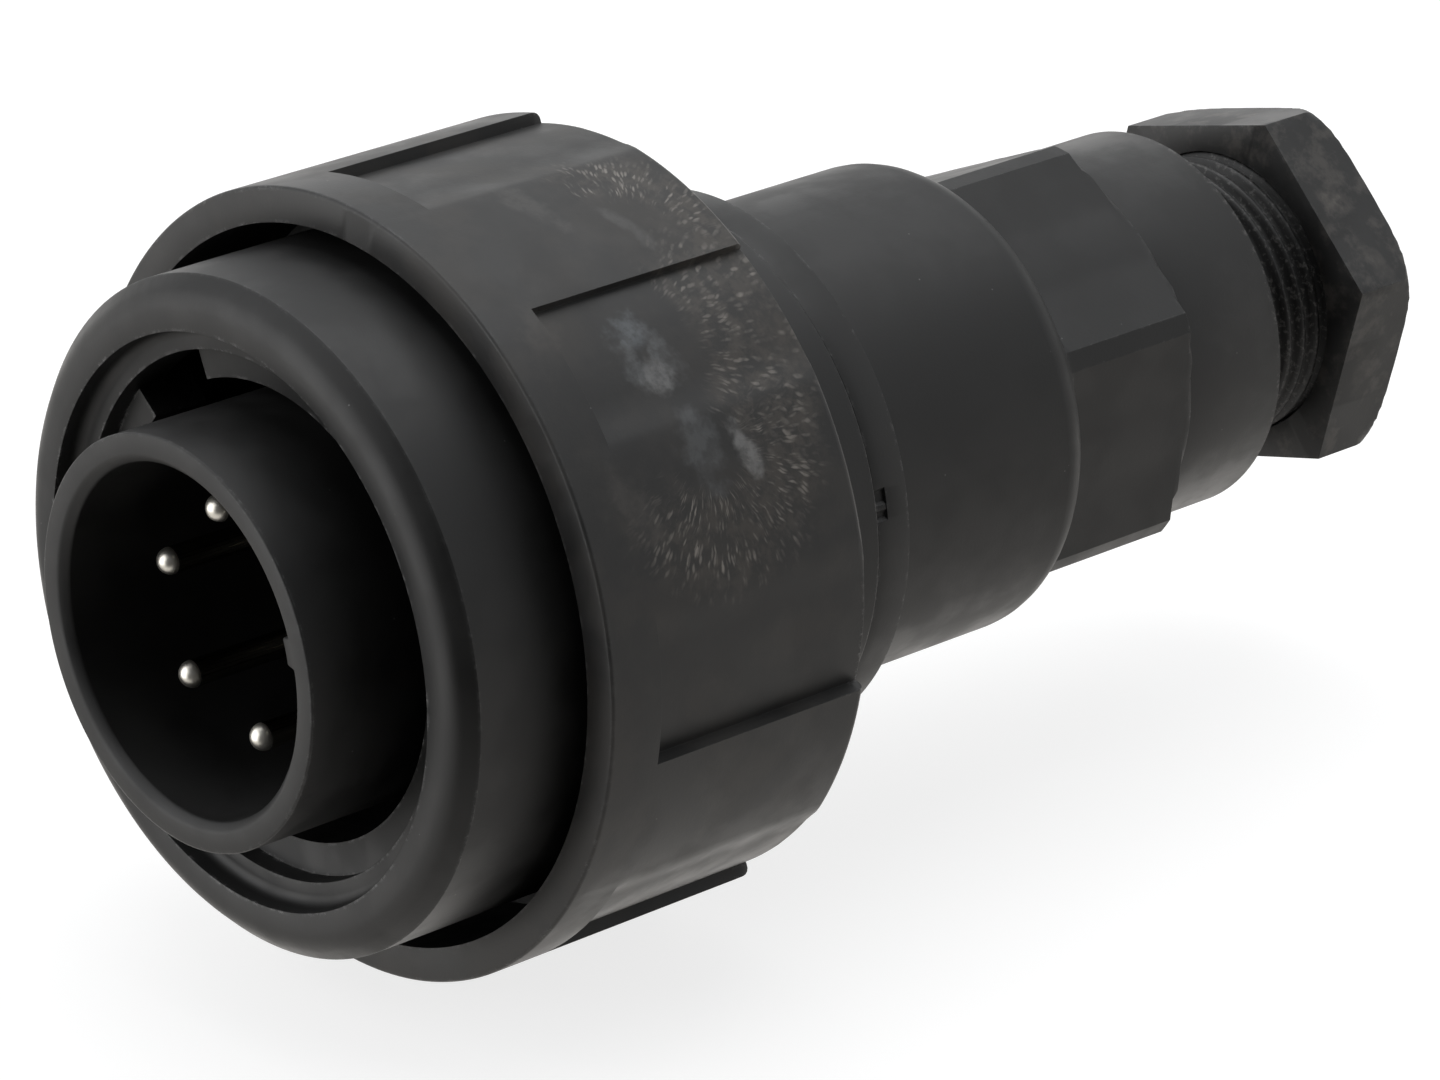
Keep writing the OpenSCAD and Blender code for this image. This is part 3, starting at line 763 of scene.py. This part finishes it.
# %% Unrolling
def unrolled(tree, radius, turn, station, reach):
    """Arc and station in mm from a spot on a round surface; the arc repeats every two reaches."""
    x, y, z = axes_mm(tree)
    here = calc(tree, "ARCTAN2", times(tree, z, -1.0), x)
    apart = calc(tree, "SUBTRACT", here, calc(tree, "RADIANS", turn))
    across = times(tree, calc(tree, "WRAP", apart, reach, -reach), radius)
    return across, calc(tree, "SUBTRACT", y, station)


print("unrolled surfaces ready")

# %% [markdown]
# ## Glass fibres at the ring's gates
# Where the plastic entered the mould, short glass fibres float up to the skin and lie away from
# that point like the rays of a fan. The distance and the direction from the gate are found on the
# unrolled ring. Cells that are narrow across the direction and longer along the distance each draw
# one short dash. The dashes crowd in some places and are few in others. The ring was filled from
# both sides, so the pattern comes back after half a turn.

# %% Group: fibre fan
FAN_R = 14.0
FAN_INPUTS = {
    "Turn": 0.0, "Station": 14.0, "Inner": 1.0, "Outer": 5.0,
    "Heading": 0.0, "Spread": 1.6, "Seed": 0.0,
}
QUARTER_TURN = math.pi / 2
BEND = (0.45, 0.45, 0.45)
NOISE_MIDDLE = (0.5, 0.5, 0.5)
DASHES_A_RADIAN, DASHES_A_MM = 30.0, 2.0
FAN_FADE_IN, FAN_FADE_OUT = 1.0, 1.8
fan, fan_in, fan_out = new_group("fibre_fan", FAN_INPUTS, ["Fibres", "Near"])
across, along = unrolled(fan, FAN_R, fan_in["Turn"], fan_in["Station"], QUARTER_TURN)
flat = add(fan, "CombineXYZ", {0: across, 1: along}).outputs[0]
warp = add(fan, "TexNoise", {"Vector": flat, "Scale": 0.9, "Detail": 3.0}).outputs["Color"]
shift = add(fan, "VectorMath", {0: warp, 1: NOISE_MIDDLE}, operation="SUBTRACT").outputs[0]
bent = add(fan, "VectorMath", {0: shift, 1: BEND, 2: flat}, operation="MULTIPLY_ADD").outputs[0]
bent_across, bent_along, _ = add(fan, "SeparateXYZ", {0: bent}).outputs
reach = length(fan, bent_across, bent_along)
heading = calc(fan, "ARCTAN2", bent_along, bent_across)
rays = add(fan, "CombineXYZ", {
    0: times(fan, heading, DASHES_A_RADIAN), 1: times(fan, reach, DASHES_A_MM), 2: fan_in["Seed"],
}).outputs[0]
cells = add(fan, "TexVoronoi", {"Vector": rays, "Scale": 1.0, "Randomness": 1.0})
dashes = between(fan, cells.outputs["Distance"], 0.55, 0.2)
shade = add(fan, "SeparateColor", {0: cells.outputs["Color"]}).outputs[0]
crowd = noise(fan, flat, scale=0.8, detail=3.0, roughness=0.65)
crowd = between(fan, crowd, 0.4, 0.6, to_low=0.1)
full_from = calc(fan, "ADD", fan_in["Inner"], FAN_FADE_IN)
full_to = calc(fan, "SUBTRACT", fan_in["Outer"], FAN_FADE_OUT)
grown = between(fan, reach, fan_in["Inner"], full_from)
gone = between(fan, reach, full_to, fan_in["Outer"], to_low=1.0, to_high=0.0)
aside = calc(fan, "SUBTRACT", heading, calc(fan, "RADIANS", fan_in["Heading"]))
aside = calc(fan, "ABSOLUTE", calc(fan, "WRAP", aside, math.pi, -math.pi))
half_spread = times(fan, fan_in["Spread"], 0.5)
sector = between(fan, aside, half_spread, fan_in["Spread"], to_low=1.0, to_high=0.0)
near = times(fan, grown, gone, sector)
fan.links.new(times(fan, dashes, crowd, shade, near), fan_out["Fibres"])
fan.links.new(near, fan_out["Near"])
print("group:", fan.name)

# %% [markdown]
# ## Flow marks
# Pale marks with ragged edges are left where the flow stopped or folded. Each is an ellipse on the
# unrolled surface, leaned by an angle, that a noise pushes out of shape. Some have a dark middle.

# %% Group: flow mark
FLOW_INPUTS = {
    "Turn": 0.0, "Station": 14.0, "Across": 1.0, "Along": 1.0, "Lean": 0.0, "Hole": -1.0,
}
RAGGEDNESS, HOLE_EDGE = 1.9, 0.3
flow, flow_in, flow_out = new_group("flow_mark", {"Radius": FAN_R, **FLOW_INPUTS}, ["Mark"])
across, along = unrolled(flow, flow_in["Radius"], flow_in["Turn"], flow_in["Station"], math.pi)
lean = calc(flow, "RADIANS", flow_in["Lean"])
cosine, sine = calc(flow, "COSINE", lean), calc(flow, "SINE", lean)
first = calc(flow, "ADD", times(flow, across, cosine), times(flow, along, sine))
second = calc(flow, "SUBTRACT", times(flow, along, cosine), times(flow, across, sine))
first = calc(flow, "DIVIDE", first, flow_in["Across"])
second = calc(flow, "DIVIDE", second, flow_in["Along"])
ragged = noise(flow, in_mm(flow), scale=1.1, detail=3.0, roughness=0.6)
ragged = calc(flow, "SUBTRACT", ragged, 0.5)
oval = calc(flow, "MULTIPLY_ADD", ragged, RAGGEDNESS, length(flow, first, second))
solid = between(flow, oval, 1.1, 0.4)
opened = between(flow, oval, calc(flow, "SUBTRACT", flow_in["Hole"], HOLE_EDGE), flow_in["Hole"])
streaks = patches(flow, 0.36, 0.6, to_low=0.45, scale=1.7, detail=4.0, roughness=0.65)
flow.links.new(times(flow, solid, opened, streaks), flow_out["Mark"])
print("group:", flow.name)

# %% [markdown]
# ## Black plastic
# This is the finish of almost everything that is seen. The base is a very dark grey. Clouds, specks
# and rubbed edges move it a little lighter, the grain becomes a bump, and the clouds also change
# the gloss, so that a soft reflection is never quite clean. Where only the two ends of a piece are
# rubbed, as on the grip ring, the recipe takes the stations that the wear stays outside of.

# %% Black plastic, the recipe
MIX_MASK, MIX_FIRST, MIX_SECOND, MIX_COLOUR = 0, 6, 7, 2
GRAIN_BUMP, GRAIN_DEPTH_MM = 0.08, 0.05
SPECK_STRENGTH, SPECK_GREY = 0.35, 0.3
RUB_STRENGTH, RUB_FADE_MM = 0.8, 0.3
SMOOTHER, ROUGHER = 0.05, 0.06
PLASTIC_IOR = 1.5


def blend(tree, mask, first, second):
    """Mixes two colours by a mask; each is a colour or a socket."""
    inputs = {MIX_MASK: mask, MIX_FIRST: first, MIX_SECOND: second}
    return add(tree, "Mix", inputs, data_type="RGBA").outputs[MIX_COLOUR]


def grey(level, warmth=0.0):
    """A grey as a colour, a little warmer or cooler."""
    return (level * (1 + warmth), level, level * (1 - warmth), 1.0)


def new_material(name):
    """A material with a Principled BSDF, and its node tree."""
    material = bpy.data.materials.new(name)
    material.use_nodes = True
    return material, material.node_tree, material.node_tree.nodes["Principled BSDF"]


def add_bump(tree, shader, height, strength, depth_mm):
    """Links a height to the shader's normal."""
    inputs = {"Height": height, "Strength": strength, "Distance": depth_mm * MM}
    tree.links.new(add(tree, "Bump", inputs).outputs[0], shader.inputs["Normal"])


def black_plastic(name, dark, light, rough, rub_level=0.12, rub_ends=None):
    """Black moulded plastic; returns the material with its tree, shader and colour socket."""
    material, tree, shader = new_material(name)
    marks = group_node(tree, skin)
    worn = group_node(tree, rub)["Rub"]
    if rub_ends:
        front_end, rear_end = rub_ends
        station = axes_mm(tree)[1]
        near_front = between(tree, station, front_end, front_end - RUB_FADE_MM)
        near_rear = between(tree, station, rear_end, rear_end + RUB_FADE_MM)
        worn = times(tree, worn, calc(tree, "ADD", near_front, near_rear))
    colour = blend(tree, marks["Clouds"], grey(dark), grey(light))
    colour = blend(tree, times(tree, marks["Specks"], SPECK_STRENGTH), colour, grey(SPECK_GREY))
    colour = blend(tree, times(tree, worn, RUB_STRENGTH), colour, grey(rub_level))
    gloss = between(tree, marks["Clouds"], 0.0, 1.0, rough - SMOOTHER, rough + ROUGHER)
    tree.links.new(colour, shader.inputs["Base Color"])
    tree.links.new(gloss, shader.inputs["Roughness"])
    add_bump(tree, shader, marks["Grain"], GRAIN_BUMP, GRAIN_DEPTH_MM)
    shader.inputs["IOR"].default_value = PLASTIC_IOR
    return material, tree, shader, colour


print("recipe ready: black plastic")

# %% [markdown]
# ## Shell, collar and rear body
# The shell and the insulators have the plain recipe. On the collar the narrow slope of the lip gets
# painted shade: its grey is darker than the roll, but its rubbed edge stays pale. On the rear body,
# crumbs of worn plastic lie on the thread's ridges and along the end of the neck.

# %% Black plastics
# Painted shade on the lip's slope: the radii and the fade where it lies, its strength and its grey.
SLOPE_FROM_R, SLOPE_FULL_R, SLOPE_FADE = 11.6, 11.9, 0.1
SLOPE_PAINTED_SHADE, SLOPE_PAINTED_SHADE_GREY = 0.8, 0.002
WEAR_FROM, WEAR_FADE = 46.4, 0.2
shell_black = black_plastic("shell_black", dark=0.011, light=0.016, rough=0.5, rub_level=0.2)[0]
insulator_black = black_plastic("insulator_black", dark=0.003, light=0.005, rough=0.6)[0]

collar_black, tree, shader, colour = black_plastic(
    "collar_black", dark=0.011, light=0.016, rough=0.5, rub_level=0.35
)
# Painted shade: the lip's narrow slope is coloured a darker grey, but not where its edge is rubbed
# pale.
x, y, z = axes_mm(tree)
outward = between(tree, length(tree, x, z), SLOPE_FROM_R, SLOPE_FULL_R)
ahead = between(tree, y, LIP_EDGE_AT, LIP_EDGE_AT - SLOPE_FADE)
brightness = add(tree, "SeparateColor", {0: colour}).outputs[0]
unrubbed = between(tree, brightness, 0.06, 0.03, to_high=SLOPE_PAINTED_SHADE)
slope_with_painted_shade = blend(tree, times(tree, outward, ahead, unrubbed), colour, grey(SLOPE_PAINTED_SHADE_GREY))
tree.links.new(slope_with_painted_shade, shader.inputs["Base Color"])

body_black, tree, shader, colour = black_plastic(
    "body_black", dark=0.010, light=0.016, rough=0.52, rub_level=0.2
)
on_ridges = between(tree, axes_mm(tree)[1], WEAR_FROM, WEAR_FROM + WEAR_FADE)
crumbs = patches(tree, 0.52, 0.68, to_high=0.5, scale=4.5, detail=3.0, roughness=0.65)
worn = blend(tree, times(tree, on_ridges, crumbs), colour, grey(0.16, warmth=0.04))
tree.links.new(worn, shader.inputs["Base Color"])
for piece, plastic in ((shell, shell_black), (collar, collar_black), (rear, body_black)):
    piece.data.materials.append(plastic)
print("plastics:", shell_black.name, collar_black.name, body_black.name, insulator_black.name)

# %% [markdown]
# ## The ring's own finish
# The grip ring is the same plastic with the glass fibres showing, and only its two ends are rubbed.
# Three fans spread over the upper side, with a mottled ground under them, and pale flow marks lie
# at the gates and between them. Their places were read off the photograph and are given as turns
# and stations on the ring. A fan also has its inner and outer reach, heading, spread and seed. A
# mark also has its half sizes along the arc and along the axis, a lean, a hole, a strength and a
# grey with its warmth.

# %% Grip ring finish
FANS = [
    (-47.3, 11.8, 3.2, 8.6, 85, 1.0, 1.0),
    (-31.0, 13.4, 1.2, 5.6, 20, 1.9, 4.0),
    (-61.6, 14.9, 2.2, 5.8, 130, 1.1, 7.0),
]
RING_MARKS = [
    (-46.4, 12.8, 1.6, 1.2, 0, 0.45, 0.6, 0.14, -0.05),
    (-50.2, 12.7, 0.8, 0.8, 0, -1, 0.5, 0.17, -0.1),
    (-42.6, 12.9, 0.8, 0.65, -30, -1, 0.65, 0.22, 0.0),
    (-31.3, 13.2, 1.6, 1.0, 0, -1, 0.6, 0.12, -0.04),
    (-28.5, 15.0, 1.3, 0.5, 10, -1, 0.6, 0.3, 0.0),
    (-53.6, 9.5, 1.1, 1.1, 0, -1, 0.3, 0.08, 0.12),
    (-75.5, 12.8, 1.8, 0.6, 12, -1, 0.35, 0.1, 0.05),
    (-65.0, 15.5, 1.5, 0.4, 20, -1, 0.4, 0.12, 0.0),
    (-26.0, 9.8, 1.8, 0.7, 20, -1, 0.3, 0.1, 0.08),
]
RUBBED_FRONT, RUBBED_REAR = 1.5, 1.2
OUTSIDE_FROM_R, OUTSIDE_FULL_R = 13.5, 13.75


def stain(tree, colour, radius, marks):
    """A colour with flow marks laid over it."""
    for *given, strength, level, warmth in marks:
        mark = group_node(tree, flow, Radius=radius, **dict(zip(FLOW_INPUTS, given)))["Mark"]
        colour = blend(tree, times(tree, mark, strength), colour, grey(level, warmth))
    return colour


grip_black, tree, shader, colour = black_plastic(
    "grip_black", dark=0.018, light=0.027, rough=0.5, rub_level=0.3,
    rub_ends=(grip_front + RUBBED_FRONT, grip_rear - RUBBED_REAR),
)
smudge = patches(tree, 0.42, 0.66, to_high=0.4, scale=0.35, detail=4.0, roughness=0.6)
mottle = patches(
    tree, 0.42, 0.62, to_low=0.1, to_high=0.75, scale=1.4, detail=5.0, roughness=0.7
)
colour = blend(tree, smudge, colour, grey(0.045, warmth=0.1))
x, _, z = axes_mm(tree)
outside = between(tree, length(tree, x, z), OUTSIDE_FROM_R, OUTSIDE_FULL_R)
for given in FANS:
    fibres = group_node(tree, fan, **dict(zip(FAN_INPUTS, given)))
    ground = times(tree, fibres["Near"], mottle, outside)
    colour = blend(tree, ground, colour, grey(0.06, warmth=0.12))
    lit = times(tree, fibres["Fibres"], outside)
    colour = blend(tree, lit, colour, grey(0.24, warmth=0.09))
tree.links.new(stain(tree, colour, FAN_R, RING_MARKS), shader.inputs["Base Color"])
grip.data.materials.append(grip_black)
print("ring finish:", len(FANS), "fans,", len(RING_MARKS), "marks")

# %% [markdown]
# ## The nut's finish
# The nut is paler and warmer than the rest, with cloudy patches on its flats and one round stain.
# A second, larger set of clouds is laid over the black for that, and then a few marks in the same
# form as on the ring.

# %% Gland nut finish
NUT_MARK_R = 7.2
NUT_MARKS = [
    (-45, 52.3, 0.9, 0.8, 0, 0.5, 0.4, 0.2, 0.1),
    (-22, 52.6, 1.2, 0.5, 15, -1, 0.3, 0.14, 0.1),
    (15, 52.3, 1.5, 0.6, 0, -1, 0.25, 0.12, 0.08),
]
nut_black, tree, shader, colour = black_plastic(
    "nut_black", dark=0.020, light=0.034, rough=0.5, rub_level=0.14
)
haze = patches(tree, 0.48, 0.66, to_high=0.45, scale=0.8, detail=5.0, roughness=0.65)
colour = blend(tree, haze, colour, grey(0.11, warmth=0.09))
tree.links.new(stain(tree, colour, NUT_MARK_R, NUT_MARKS), shader.inputs["Base Color"])
nut.data.materials.append(nut_black)
print("nut finish:", nut_black.name)

# %% [markdown]
# ## Metal, rubber and natural plastic
# The pins are plated brass, slightly warm, with faint turning marks. Their noses are bright and a
# little dull. The shanks behind them are smoother, and their colour is painted shade, a darker grey
# for the dark shroud round them. The spring and the clip are plain steel with a drawn grain, the
# seals are dull rubber, and the washer is natural plastic. Little of these is seen, but they are
# all there when the plug is looked into.

# %% Other finishes
METAL_BUMP, METAL_DEPTH_MM, METAL_ROUGHER = 0.12, 0.02, 0.14
MATTE_BUMP, MATTE_DEPTH_MM, MATTE_ROUGHER, MATTE_CLOUD_MM = 0.2, 0.05, 0.1, 1.5
# Where the nose ends; the shank behind it has a painted shade colour and less roughness.
NOSE_END, NOSE_FADE = 0.6, 0.15
SHANK_PAINTED_SHADE_COLOUR, SHANK_ROUGH, NOSE_ROUGHER = (0.34, 0.32, 0.26, 1), 0.1, 0.26


def metal(name, light, dark, rough, stretch):
    """Bare metal with fine marks drawn out along one direction, with its tree and colour."""
    material, tree, shader = new_material(name)
    drawn = add(tree, "Mapping", {"Vector": in_mm(tree), "Scale": stretch}).outputs[0]
    marks = noise(tree, drawn, scale=1.0, detail=3.0, roughness=0.6)
    colour = blend(tree, marks, dark, light)
    gloss = between(tree, marks, 0.2, 0.8, rough, rough + METAL_ROUGHER)
    tree.links.new(colour, shader.inputs["Base Color"])
    tree.links.new(gloss, shader.inputs["Roughness"])
    add_bump(tree, shader, marks, METAL_BUMP, METAL_DEPTH_MM)
    shader.inputs["Metallic"].default_value = 1.0
    return material, tree, shader, colour


def soft_matte(name, dark, light, rough, grain):
    """Dull rubber or natural plastic with a grain."""
    material, tree, shader = new_material(name)
    marks = group_node(tree, skin, Grain_Size=grain, Cloud_Size=MATTE_CLOUD_MM)
    gloss = between(tree, marks["Clouds"], 0.0, 1.0, rough, rough + MATTE_ROUGHER)
    tree.links.new(blend(tree, marks["Clouds"], dark, light), shader.inputs["Base Color"])
    tree.links.new(gloss, shader.inputs["Roughness"])
    add_bump(tree, shader, marks["Grain"], MATTE_BUMP, MATTE_DEPTH_MM)
    return material


plated, tree, shader, colour = metal(
    "plated_brass", (0.97, 0.95, 0.88, 1), (0.86, 0.82, 0.73, 1), SHANK_ROUGH, (1.5, 14, 1.5)
)
# Painted shade: behind the nose the pin's colour turns to a darker grey.
nose_end = PIN_TIP + NOSE_END
nose = between(tree, axes_mm(tree)[1], nose_end, nose_end - NOSE_FADE)
tree.links.new(blend(tree, nose, SHANK_PAINTED_SHADE_COLOUR, colour), shader.inputs["Base Color"])
gloss = calc(tree, "MULTIPLY_ADD", nose, NOSE_ROUGHER, SHANK_ROUGH)
tree.links.new(gloss, shader.inputs["Roughness"])
for pin in pins:
    pin.data.materials.append(plated)
steel = metal("spring_steel", (0.62, 0.62, 0.6, 1), (0.4, 0.4, 0.39, 1), 0.3, (2, 20, 2))[0]
rubber = soft_matte("seal_rubber", grey(0.012), grey(0.02), rough=0.7, grain=0.2)
natural = soft_matte("washer_natural", grey(0.55, 0.04), grey(0.68, 0.04), rough=0.45, grain=0.3)
print("finishes:", plated.name, steel.name, rubber.name, natural.name)

# %% [markdown]
# ## Finishes for the solids that stay
# The seals, the clip, the spring, the insulators, the grommet, the pinch ring and the washer
# already have the right shape as solids. They keep it, and only their material slots change.

# %% Materials on the solids that stay
FINISH_OF_SLOT = {
    "insulator_plastic": insulator_black,
    "seal_rubber": rubber,
    "spring_steel": steel,
    "washer_plastic": natural,
}
kept = 0
for row in frame["record"]["subparts"]:
    node = frame["nodes"][row["node"]]
    if not node.hide_render:
        node.data.materials.clear()
        node.data.materials.append(FINISH_OF_SLOT[row["material_slot"]])
        kept += 1
print("solids kept:", kept)

# %% [markdown]
# ## The floor
# The picture has a white ground with only a faint shadow. A pale floor under the ring would still
# come out grey, so it also glows a little. The plug neither mirrors the floor nor takes light from
# it, because the world below already gives light from that side.

# %% Floor
FLOOR_HALF = 1.5
FLOOR_ROUGH, FLOOR_GLOW = 0.8, 0.78
PAPER_SCALE = 0.02
bm = bmesh.new()
bmesh.ops.create_grid(bm, x_segments=1, y_segments=1, size=FLOOR_HALF)
bmesh.ops.translate(bm, vec=(0, 0, cad_box[0].z), verts=bm.verts[:])
floor_mesh = bpy.data.meshes.new("floor")
bm.to_mesh(floor_mesh)
bm.free()
floor = linked("floor", floor_mesh)
pale, tree, shader = new_material("pale_floor")
paper = noise(tree, in_mm(tree), PAPER_SCALE)
tree.links.new(blend(tree, paper, grey(0.3), grey(0.33)), shader.inputs["Base Color"])
shader.inputs["Roughness"].default_value = FLOOR_ROUGH
shader.inputs["Emission Color"].default_value = (1, 1, 1, 1)
shader.inputs["Emission Strength"].default_value = FLOOR_GLOW
floor.data.materials.append(pale)
floor.visible_diffuse = False
floor.visible_glossy = False
print("floor:", 2 * FLOOR_HALF, "m wide")

# %% [markdown]
# ## Light from all round
# Black plastic shows mostly what it mirrors. The world is dark on the side that the photograph was
# taken from, brighter all round and brightest behind the plug. That gives dark faces with soft pale
# edges where they turn away. The light is a little cooler from above than from below.

# %% World
SKY_FRONT, SKY_ROUND, SKY_BEHIND = 0.07, 0.68, 0.9
SKY_WARM, SKY_COOL = (1.0, 0.97, 0.93, 1), (0.96, 0.98, 1.0, 1)
world = bpy.data.worlds.new("studio")
bpy.context.scene.world = world
world.use_nodes = True
tree = world.node_tree
sky = tree.nodes["Background"]
seen = add(tree, "TexCoord").outputs["Generated"]
facing = add(tree, "VectorMath", {0: seen, 1: -CAMERA_LOOK}, operation="DOT_PRODUCT")
toward = facing.outputs["Value"]
front = between(tree, toward, 0.26, 0.74, to_low=SKY_ROUND, to_high=SKY_FRONT)
behind = between(tree, toward, -0.55, -0.98, to_high=SKY_BEHIND)
tree.links.new(calc(tree, "ADD", front, behind), sky.inputs["Strength"])
above = between(tree, add(tree, "SeparateXYZ", {0: seen}).outputs[2], -0.5, 0.7)
tree.links.new(blend(tree, above, SKY_WARM, SKY_COOL), sky.inputs["Color"])
print("world:", world.name)

# %% [markdown]
# ## Two soft lamps
# A large lamp overhead lights the tops of the round pieces and lays the shadow on the floor. A
# second one, ahead of the mating end, reaches the pins in the shroud. Both are squares, because a
# small lamp would leave hard spots on the plastic.

# %% Lamps
PLUG_MIDDLE = Vector((0, 0.027, 0))
LAMPS = {
    "top_light": {"spot": (-0.05, 0.1, 0.5), "size": 0.5, "power": 1.4},
    "front_light": {"spot": (-0.2, -0.4, 0.1), "size": 0.6, "power": 1.6},
}


def softbox(name, spot, size, power):
    """A large square lamp that points at the plug."""
    lamp = bpy.data.lights.new(name, "AREA")
    lamp.size = size
    lamp.energy = power
    obj = linked(name, lamp)
    obj.location = spot
    obj.rotation_euler = (PLUG_MIDDLE - Vector(spot)).to_track_quat("-Z", "Y").to_euler()


for name, settings in LAMPS.items():
    softbox(name, **settings)
bpy.context.scene.view_settings.view_transform = "Standard"
print("lamps:", ", ".join(LAMPS))
